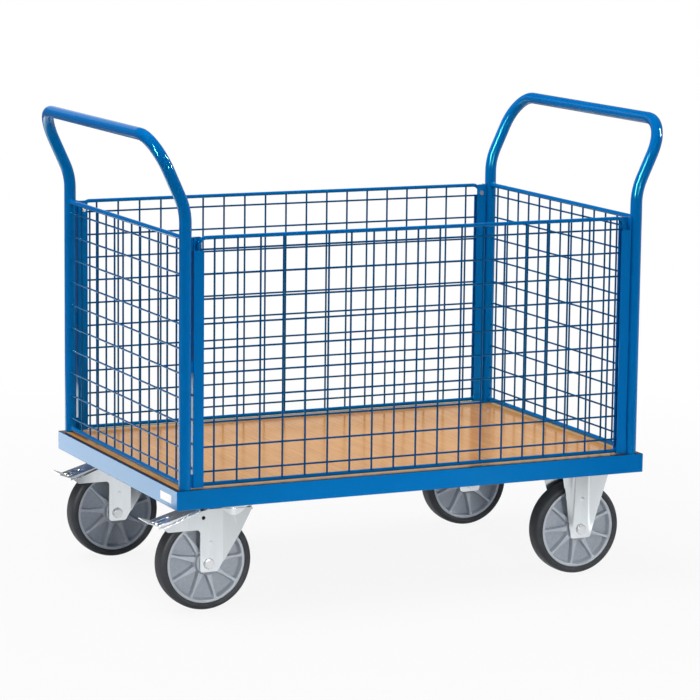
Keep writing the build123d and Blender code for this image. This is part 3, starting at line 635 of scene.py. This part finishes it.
def rounded_rectangle(centre, length, width, radius):
    """Points around a rectangle with rounded corners."""
    points = []
    for a, b, start in ((1, 1, 0), (-1, 1, 90), (-1, -1, 180), (1, -1, 270)):
        corner = (centre[0] + a * (length / 2 - radius), centre[1] + b * (width / 2 - radius))
        points += arc(corner, radius, start, start + 90, corner_steps)
    return points


def castor_body(kind, side_name):
    """The body that a castor's fork or bracket belongs to."""
    return f"swivel_{side_name}" if kind == "swivel" else "chassis"


def tyre(name):
    """Moulded tyre with rounded shoulders, a low ring on each sidewall and a slightly crowned tread."""
    centre = middle(f"tyre_{name}")
    side_top = rim_seat_radius + tyre_side_height
    bead = tyre_half_width - tyre_bead_taper
    bead_radius = rim_lip_radius + tyre_lip_gap
    seat_along = rim_half_width - rim_lip_width
    ring_along = tyre_half_width - tyre_bead_taper * (side_top - tyre_ring_radius) / tyre_side_height
    shoulder = (tyre_half_width - tyre_shoulder, tyre_radius - tyre_shoulder - tyre_crown)

    # Half of the profile from the seat out to the tread, as a place along the axle and a radius
    half = [(seat_along, rim_seat_radius + tyre_seat_gap), (seat_along, bead_radius), (bead, bead_radius)]
    half += arc((bead + tyre_bead_shift, bead_radius + tyre_bead_round), tyre_bead_round, -60, 10, steps=3)
    half += arc((ring_along - tyre_ring_sink, tyre_ring_radius), tyre_ring_half, -75, 75, steps=6)
    half += arc(shoulder, tyre_shoulder, 0, 84, steps=9)
    half += [(tread_edge_share * tyre_half_width, tyre_radius - tread_edge_drop)]
    half += [(tread_middle_share * tyre_half_width, tyre_radius)]

    profile = half + [(-along, radius) for along, radius in reversed(half)]
    rows = [ring(centre, radius, along, tyre_segments) for along, radius in profile]
    made = piece(f"moulded_tyre_{name}", rows, f"wheel_{name}", "grey_rubber_tyre", loop=True)
    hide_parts(f"tyre_{name}")


def rim_profile():
    """Half of the rim's profile from the bore out to the seat, as a radius and a height above mid plane."""
    web_start = hub_radius + hub_draft + rim_web_fillet
    web_end = rim_inner_radius - rim_wall_draft - rim_web_fillet
    fillet_top = rim_web_half + rim_web_fillet
    lip_height = rim_half_width - rim_lip_round
    seat_height = rim_half_width - rim_lip_width
    half = [(rim_bore_radius, hub_half_length - rim_bore_chamfer)]
    half += [(rim_bore_radius + rim_bore_chamfer, hub_half_length)]
    half += [(hub_radius - hub_edge - hub_face_margin, hub_half_length)]
    half += arc((hub_radius - hub_edge, hub_half_length - hub_edge), hub_edge, 90, 8, steps=4)
    half += [(hub_radius + hub_draft / 2, rib_top + hub_above_ribs)]
    half += arc((web_start, fillet_top), rim_web_fillet, 180, 270, steps=4)
    for i in range(1, rim_web_rows):
        half.append((web_start + (web_end - web_start) * i / rim_web_rows, rim_web_half))
    half += arc((web_end, fillet_top), rim_web_fillet, 270, 360, steps=4)
    for i in range(1, rim_wall_rows + 1):
        share = i / rim_wall_rows
        wall_radius = rim_inner_radius - rim_wall_draft * (1 - share)
        half.append((wall_radius, fillet_top + share * (rib_top - fillet_top)))
    half += arc((rim_inner_radius + rim_lip_round, lip_height), rim_lip_round, 180, 90, steps=3)
    half += arc((rim_lip_radius - rim_lip_round, lip_height), rim_lip_round, 90, 0, steps=3)
    half += [(rim_lip_radius, seat_height), (rim_seat_radius, seat_height)]
    return half


def rib_ring(centre, turn, radius, height, side):
    """One ring of the rim, lifted to the ribs where they pass."""
    share = min(max((radius - hub_radius) / (rim_inner_radius - hub_radius), 0.0), 1.0)
    flare = rib_flare_at_rim * max(share - rib_flare_start, 0.0) / (1 - rib_flare_start)
    taper = (rib_width_at_hub - rib_width_at_rim) * (1 - share) ** rib_taper
    half_width = (rib_width_at_rim + taper + flare) / 2
    top = min(half_width / radius, rib_top_limit * rib_sector)
    foot = min((half_width + rib_side_run) / radius, rib_foot_limit * rib_sector)
    limits = (-rib_sector, -foot, -top, top, foot, rib_sector)
    offsets = []
    for start, end, count in zip(limits, limits[1:], rib_steps):
        offsets += [start + (end - start) * i / count for i in range(count)]
    ribbed = hub_radius < radius <= rim_inner_radius and height < rib_top
    points = []
    for k in range(rib_count):
        for offset in offsets:
            rise = min(max((foot - abs(offset)) / (foot - top), 0.0), 1.0)
            smooth = rise * rise * (3 - 2 * rise)
            lifted = height + (rib_top - height) * smooth if ribbed else height
            angle = turn + 2 * rib_sector * k + offset
            offset_from_centre = (radius * math.cos(angle), side * lifted, radius * math.sin(angle))
            points.append(centre + Vector(offset_from_centre))
    return points


def rim(name):
    """Moulded rim with drafted walls, a rolled lip and tapered ribs between the hub and the barrel."""
    centre = middle(f"rim_{name}")
    turn = math.radians(rib_angles[name])
    half = rim_profile()
    rows = [rib_ring(centre, turn, radius, height, -1) for radius, height in half]
    rows += [rib_ring(centre, turn, radius, height, 1) for radius, height in reversed(half)]
    made = piece(f"moulded_rim_{name}", rows, f"wheel_{name}", "grey_rim_plastic", loop=True)
    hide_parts(f"rim_{name}")


def hexagon_rows(centre, start, direction, height):
    """Rings of a hexagon head or nut along Y, with the corners chamfered at its outer end."""
    face_radius = hexagon_face_share * axle_flats
    outer, edge, face = [], [], []
    for i in range(hexagon_segments):
        angle = 2 * math.pi * i / hexagon_segments
        turn = (angle + math.pi / 6) % (math.pi / 3) - math.pi / 6
        radius = axle_flats / 2 / math.cos(turn)
        drop = (radius - face_radius) * math.tan(hexagon_chamfer)
        across = Vector((math.cos(angle), 0, math.sin(angle)))
        outer.append(centre + across * radius + Vector((0, start, 0)))
        edge.append(centre + across * radius + Vector((0, start + direction * (height - drop), 0)))
        face.append(centre + across * face_radius + Vector((0, start + direction * height, 0)))
    return [outer, edge, face]


def thread_rows(centre, start, end):
    """Rings of the axle bolt's end along Y with a helical thread."""
    steps = max(2, round(abs(end - start) / thread_pitch * thread_steps))
    rows = []
    for s in range(steps + 1):
        along = start + (end - start) * s / steps
        row = []
        for i in range(axle_segments):
            angle = 2 * math.pi * i / axle_segments
            wave = 0.5 + 0.5 * math.cos(2 * math.pi * along / thread_pitch - angle)
            radius = axle_radius - thread_depth * wave
            row.append(centre + Vector((radius * math.cos(angle), along, radius * math.sin(angle))))
        rows.append(row)
    return rows


def axle(name, body):
    """Axle bolt with a washer-faced head, the sleeve between the cheeks, a lock nut and its thread."""
    low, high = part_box(f"axle_{name}")
    middle_y = low.y + axle_head_height + cheek_outer
    centre = Vector(((low.x + high.x) / 2, middle_y, (low.z + high.z) / 2))
    face_along = -cheek_outer - washer_thickness
    nut_end = cheek_outer + axle_nut_height
    slot_name = "zinc_fasteners"

    def turned(part_name, profile, segments, finish=None):
        """A round part of the axle from its profile, as places along Y and radii."""
        rows = [ring(centre, radius, along, segments) for along, radius in profile]
        return piece(part_name, rows, body, slot_name, finish)

    head_rows = hexagon_rows(centre, face_along, -1, axle_head_height - washer_thickness)
    washer_profile = ((-cheek_outer, washer_radius), (face_along, washer_radius))
    shank_profile = ((-cheek_outer, axle_radius), (cheek_outer, axle_radius))
    sleeve_profile = ((-cheek_inner, sleeve_radius), (cheek_inner, sleeve_radius))
    nut_rows = hexagon_rows(centre, cheek_outer, 1, nut_hexagon_height)
    collar_profile = (
        (cheek_outer + nut_hexagon_height - collar_overlap, collar_radius),
        (nut_end - collar_round, collar_radius),
        (nut_end, collar_top_radius),
    )
    tip_rows = thread_rows(centre, nut_end - tip_overlap, high.y - middle_y)
    made = joined(
        piece(f"axle_bolt_{name}", head_rows, body, slot_name, sharp=facet_angle),
        turned("washer_face", washer_profile, hexagon_segments, washer_painted_shade_finish),
        turned("shank", shank_profile, axle_segments),
        turned("sleeve", sleeve_profile, sleeve_segments),
        piece("nut", nut_rows, body, slot_name, sharp=facet_angle),
        turned("collar", collar_profile, hexagon_segments),
        piece("tip", tip_rows, body, slot_name),
    )
    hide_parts(f"axle_{name}")


def bracket_leg(centre, bottom, side):
    """One pressed leg of a fixed bracket, with a fold at each side to a wing that opens as it rises."""
    wing_height = leg_top - wing_bottom
    turns = [math.radians(90 * i / corner_steps) for i in range(corner_steps + 1)]
    levels = [bottom + leg_corner * (1 - math.cos(turn)) for turn in turns]
    levels += [wing_bottom + wing_height * i / leg_rows for i in range(leg_rows + 1)]
    rows = []
    for level in levels:
        share = max(0.0, (level - wing_bottom) / wing_height)
        under = min(max(0.0, bottom + leg_corner - level), leg_corner)
        half_width = leg_low_half + (leg_high_half - leg_low_half) * share
        half_width -= leg_corner - math.sqrt(leg_corner**2 - under**2)
        slope = leg_flare * share / (half_width - fold_half) if share > 0 else 0.0
        outer, inner = [], []
        for i in range(leg_columns + 1):
            across = half_width * (2 * i / leg_columns - 1)
            past = abs(across) - fold_half
            if past <= -fold_blend:
                open_by = 0.0
            elif past >= fold_blend:
                open_by = slope * past
            else:
                open_by = slope * (past + fold_blend) ** 2 / (4 * fold_blend)
            x = centre.x + across
            outer.append(Vector((x, centre.y + side * (cheek_outer + open_by), level)))
            inner.append(Vector((x, centre.y + side * (cheek_inner + open_by), level)))
        rows.append(outer + inner[::-1])
    return piece(f"bracket_leg_{side}", rows, "chassis", "zinc_plated_steel")


def fixed_bracket(side_name):
    """Pressed bracket of a fixed castor, with its plate and its two legs."""
    cad_name = f"fixed_bracket_{side_name}"
    low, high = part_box(cad_name)
    centre = middle(cad_name)
    outline = rounded_rectangle(centre, high.x - low.x, high.y - low.y, plate_corner)
    plate_rows = [[Vector((x, y, level)) for x, y in outline] for level in (leg_top, high.z)]
    bracket = joined(
        piece(f"pressed_bracket_{side_name}", plate_rows, "chassis", "zinc_plated_steel"),
        bracket_leg(centre, low.z, -1),
        bracket_leg(centre, low.z, 1),
    )
    soften(bracket, sheet_edge)
    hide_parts(cad_name)


def spring_leaf(side_name):
    """Bent spring leaf seen through a pedal's slot, near black as painted shade in the slot."""
    middle_y = middle(f"brake_pedal_{side_name}").y
    line = ((-leaf_half_length, 0.0), (-leaf_knee, leaf_knee_dip), (0.0, leaf_dip))
    line += ((leaf_knee, leaf_knee_dip), (leaf_half_length, 0.0))
    rows = []
    for along, dip in line:
        top = slot_z + pedal_slope * along - pedal_thickness - dip
        bottom = top - leaf_thickness
        corners = ((-leaf_half, top), (leaf_half, top), (leaf_half, bottom), (-leaf_half, bottom))
        rows.append([Vector((slot_x + along, middle_y + across, z)) for across, z in corners])
    piece(f"brake_leaf_{side_name}", rows, f"pedal_{side_name}", "zinc_fasteners", leaf_painted_shade_finish)


def pedal_bead(side_name, bead_name, direction):
    """Pressed bead beside a pedal's slot, with blunt ends."""
    middle_y = middle(f"brake_pedal_{side_name}").y + direction * press_offset
    rows = []
    for i in range(press_steps + 1):
        along = press_half_length * (2 * i / press_steps - 1)
        grow = math.sqrt(max(1 - (along / press_half_length) ** press_bluntness, press_least))
        centre = Vector((slot_x + along, middle_y, slot_z + pedal_slope * along))
        row = []
        for k in range(press_points):
            angle = 2 * math.pi * k / press_points
            across, above = press_half_width * math.cos(angle), press_height * math.sin(angle)
            row.append(centre + grow * Vector((0, across, above)))
        rows.append(row)
    piece_name = f"pedal_bead_{side_name}_{bead_name}"
    piece(piece_name, rows, f"pedal_{side_name}", "zinc_plated_steel", pedal_painted_light_finish)


def punch_mark(kind, side_name):
    """Shallow round mark on the front cheek of a castor."""
    dx, dz = mark_places[kind]
    centre = middle(f"rim_{kind}_{side_name}") + Vector((dx, -cheek_outer, dz))
    rows = [ring(centre, radius, along, mark_segments) for along, radius in mark_profile]
    piece(f"punch_mark_{kind}_{side_name}", rows, castor_body(kind, side_name), "zinc_plated_steel")


def rod_weld_path(rod_x, rod_z, rod_radius, post_y, side):
    """Points round the end of a rod, where it meets a post."""
    path = []
    for i in range(weld_rings):
        angle = 2 * math.pi * i / weld_rings
        dx = (rod_radius + weld_offset) * math.cos(angle)
        dz = (rod_radius + weld_offset) * math.sin(angle)
        sink = math.sqrt((post_radius + weld_offset) ** 2 - dx**2)
        path.append(Vector((rod_x + dx, side * (post_y - sink), rod_z + dz)))
    return path


def weld_bead(name, path):
    """A weld bead round a closed path, with its ripples."""
    rows = []
    run = 0.0
    for i, point in enumerate(path):
        before, after = path[i - 1], path[(i + 1) % len(path)]
        run += (point - before).length if i > 0 else 0.0
        along = (after - before).normalized()
        across = along.cross(weld_reference).normalized()
        upward = along.cross(across)
        radius = weld_radius + weld_ripple * math.cos(2 * math.pi * run / weld_pitch)
        row = []
        for k in range(weld_points):
            angle = 2 * math.pi * k / weld_points
            row.append(point + radius * (math.cos(angle) * across + math.sin(angle) * upward))
        rows.append(row)
    piece(name, rows, "chassis", "blue_powder_coat", loop=True)


def end_welds(end_name):
    """Weld beads where the two rods of an end meet its posts."""
    rod_low, rod_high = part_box(f"end_rods_{end_name}")
    rod_radius = (rod_high.x - rod_low.x) / 2
    rod_x = (rod_low.x + rod_high.x) / 2
    post_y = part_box(f"end_tube_{end_name}")[1].y - post_radius
    for level_name, rod_z in (("low", rod_low.z + rod_radius), ("high", rod_high.z - rod_radius)):
        for side_name, side in sides.items():
            path = rod_weld_path(rod_x, rod_z, rod_radius, post_y, side)
            weld_bead(f"rod_weld_{end_name}_{side_name}_{level_name}", path)


def blank_label():
    """Blank label on the left end rail."""
    rail_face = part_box("frame_rail_left")[0].x
    label_outline = rounded_rectangle(label_middle, label_length, label_height, label_corner)
    label_rows = []
    for face_x in (rail_face + label_sink, rail_face - label_thickness):
        label_rows.append([Vector((face_x, y, z)) for y, z in label_outline])
    piece("blank_label", label_rows, "chassis", "blue_powder_coat", label_finish)


# Wheels with their axles
for kind in castor_kinds:
    for side_name in sides:
        wheel_name = f"{kind}_{side_name}"
        tyre(wheel_name)
        rim(wheel_name)
        axle(wheel_name, castor_body(kind, side_name))

# Brackets, trim of the pedals, punch marks, welds and label
for side_name in sides:
    fixed_bracket(side_name)
for side_name in sides:
    spring_leaf(side_name)
for side_name in sides:
    pedal_bead(side_name, "outer", -1)
    pedal_bead(side_name, "inner", 1)
for side_name in sides:
    for kind in castor_kinds:
        punch_mark(kind, side_name)
for end_name in ends:
    end_welds(end_name)
blank_label()


def add_reflections(tree, seen, rays):
    """What the camera sees, with what reflections and glass see added."""
    for kind in ("Is Glossy Ray", "Is Transmission Ray"):
        seen = calc(tree, "MAXIMUM", seen, rays[kind])
    return seen


def floor_paper():
    """Matt pale paper, white to the camera and to reflections, with the trolley's shadow near it."""
    made = bpy.data.materials.new("studio_floor_finish")
    made.use_nodes = True
    tree = made.node_tree
    tree.nodes.clear()
    rays = add(tree, "ShaderNodeLightPath").outputs
    split = coordinates(tree)

    # Whiteness in reflections
    forwards = between(tree, split["Y"], paper_full, paper_end, 1.0, paper_end_white)
    backwards = between(tree, split["Y"], paper_back, paper_back_end, 1.0, paper_back_white)
    slanted = calc(tree, "MULTIPLY_ADD", split["Y"], paper_slant, split["X"])
    stops = [((band_x / paper_reach + 1) / 2, white) for band_x, white in paper_bands]
    bands = ramp(tree, between(tree, slanted, -paper_reach, paper_reach), *stops)
    paper = calc(tree, "MULTIPLY", calc(tree, "MULTIPLY", forwards, backwards), bands)
    shine = between(tree, rays["Is Glossy Ray"], 0.0, 1.0, 1.0, paper)

    # Whiteness to the camera
    place = add(tree, "ShaderNodeTexCoord").outputs["Object"]
    away = add(tree, "ShaderNodeVectorMath", {0: place}, operation="LENGTH").outputs["Value"]
    whiteness = between(tree, away, floor_near, floor_far, floor_near_white, floor_far_white)
    seen = add_reflections(tree, calc(tree, "MULTIPLY", rays["Is Camera Ray"], whiteness), rays)

    matt = add(tree, "ShaderNodeBsdfDiffuse", {"Color": (floor_albedo, floor_albedo, floor_albedo, 1.0)})
    white = add(tree, "ShaderNodeEmission", {"Color": plain_white, "Strength": shine})
    mixed = add(tree, "ShaderNodeMixShader", {0: seen, 1: matt.outputs[0], 2: white.outputs[0]})
    add(tree, "ShaderNodeOutputMaterial", {"Surface": mixed.outputs[0]})
    return made


def studio_world():
    """White to the camera, a plain low light, and in reflections darker in front, at the left and above."""
    made = bpy.data.worlds.new("studio")
    made.use_nodes = True
    tree = made.node_tree
    tree.nodes.clear()
    rays = add(tree, "ShaderNodeLightPath").outputs
    split = coordinates(tree, "Generated")
    depth = between(tree, split["Y"], -1.0, 1.0, front_reflection, back_reflection)
    haze = between(tree, split["Z"], haze_low, haze_high, 1.0, haze_over)
    across = between(tree, split["X"], haze_left, haze_right, haze_over, 1.0)
    mirrored = calc(tree, "MULTIPLY", calc(tree, "MULTIPLY", depth, haze), across)
    seen = add_reflections(tree, rays["Is Camera Ray"], rays)
    lit = between(tree, seen, 0.0, 1.0, ambient_strength, mirrored)
    strength = between(tree, rays["Is Camera Ray"], 0.0, 1.0, lit, 1.0)
    sky = add(tree, "ShaderNodeBackground", {"Color": plain_white, "Strength": strength})
    add(tree, "ShaderNodeOutputWorld", {"Surface": sky.outputs[0]})
    return made


def hang(name, data, place, aim):
    """Hang a light at a place, aimed at a point."""
    made = bpy.data.objects.new(name, data)
    made.location = place
    made.rotation_mode = "QUATERNION"
    made.rotation_quaternion = (aim - Vector(place)).to_track_quat("-Z", "Y")
    scene.collection.objects.link(made)
    return made


def lamp(name, place, width, length, power, aim):
    """A soft box aimed at a point and unseen by the camera."""
    data = bpy.data.lights.new(name, "AREA")
    data.shape = "RECTANGLE"
    data.size = width
    data.size_y = length
    data.energy = power
    made = hang(name, data, place, aim)
    made.visible_camera = False
    return made


def spot(name, place, aim, power, angle, radius):
    """A spot with a soft edge, aimed at a point."""
    data = bpy.data.lights.new(name, "SPOT")
    data.energy = power
    data.spot_size = math.radians(angle)
    data.spot_blend = 1.0
    data.shadow_soft_size = radius
    return hang(name, data, place, aim)


# Floor
floor_mesh = bpy.data.meshes.new("studio_floor")
floor_signs = ((-1, -1), (1, -1), (1, 1), (-1, 1))
floor_corners = [(sx * floor_half_size, sy * floor_half_size, -floor_drop) for sx, sy in floor_signs]
floor_mesh.from_pydata(floor_corners, [], [(0, 1, 2, 3)])
floor_mesh.materials.append(floor_paper())
floor = bpy.data.objects.new("studio_floor", floor_mesh)
scene.collection.objects.link(floor)

# World and soft lamps
scene.world = studio_world()
for lamp_name, (lamp_place, lamp_size, lamp_power) in soft_lamps.items():
    soft_lamp = lamp(lamp_name, lamp_place, lamp_size, lamp_size, lamp_power, aim_point)
    soft_lamp.visible_glossy = False

# The cards and the low spot shine on the tubes and castors, and leave the board and the mesh alone
shaded = bpy.data.collections.new("shaded_from_cards")
for name, node in nodes.items():
    if any(word in name for word in shaded_words):
        shaded.objects.link(node)
for entry in shaded.collection_objects:
    entry.light_linking.link_state = "EXCLUDE"
for card_name, (card_place, card_width, card_height, card_power) in cards.items():
    card = lamp(card_name, card_place, card_width, card_height, card_power, aim_point)
    card.visible_diffuse = False
    card.light_linking.receiver_collection = shaded
low_spot = spot("low", low_place, low_aim, low_power, low_angle, low_radius)
low_spot.light_linking.receiver_collection = shaded

# Glow straight up from the floor
glow_aim = Vector(glow_place) + Vector((0, 0, 1))
lamp("glow", glow_place, glow_width, glow_length, glow_power, glow_aim)

# Camera
azimuth, elevation, roll = map(math.radians, (camera_azimuth, camera_elevation, camera_roll))
level_share = math.cos(elevation)
back = Vector((math.sin(azimuth) * level_share, -math.cos(azimuth) * level_share, math.sin(elevation)))
level_right = Vector((math.cos(azimuth), math.sin(azimuth), 0.0))
level_up = back.cross(level_right)
right = math.cos(roll) * level_right + math.sin(roll) * level_up
up = -math.sin(roll) * level_right + math.cos(roll) * level_up
camera_data = bpy.data.cameras.new("camera")
camera_data.lens = camera_lens
camera_data.sensor_width = sensor_width
camera_data.clip_end = camera_reach
camera = bpy.data.objects.new("camera", camera_data)
camera.matrix_world = Matrix.Translation(camera_place) @ Matrix((right, up, back)).transposed().to_4x4()
scene.collection.objects.link(camera)
scene.camera = camera
scene.view_settings.view_transform = "Standard"
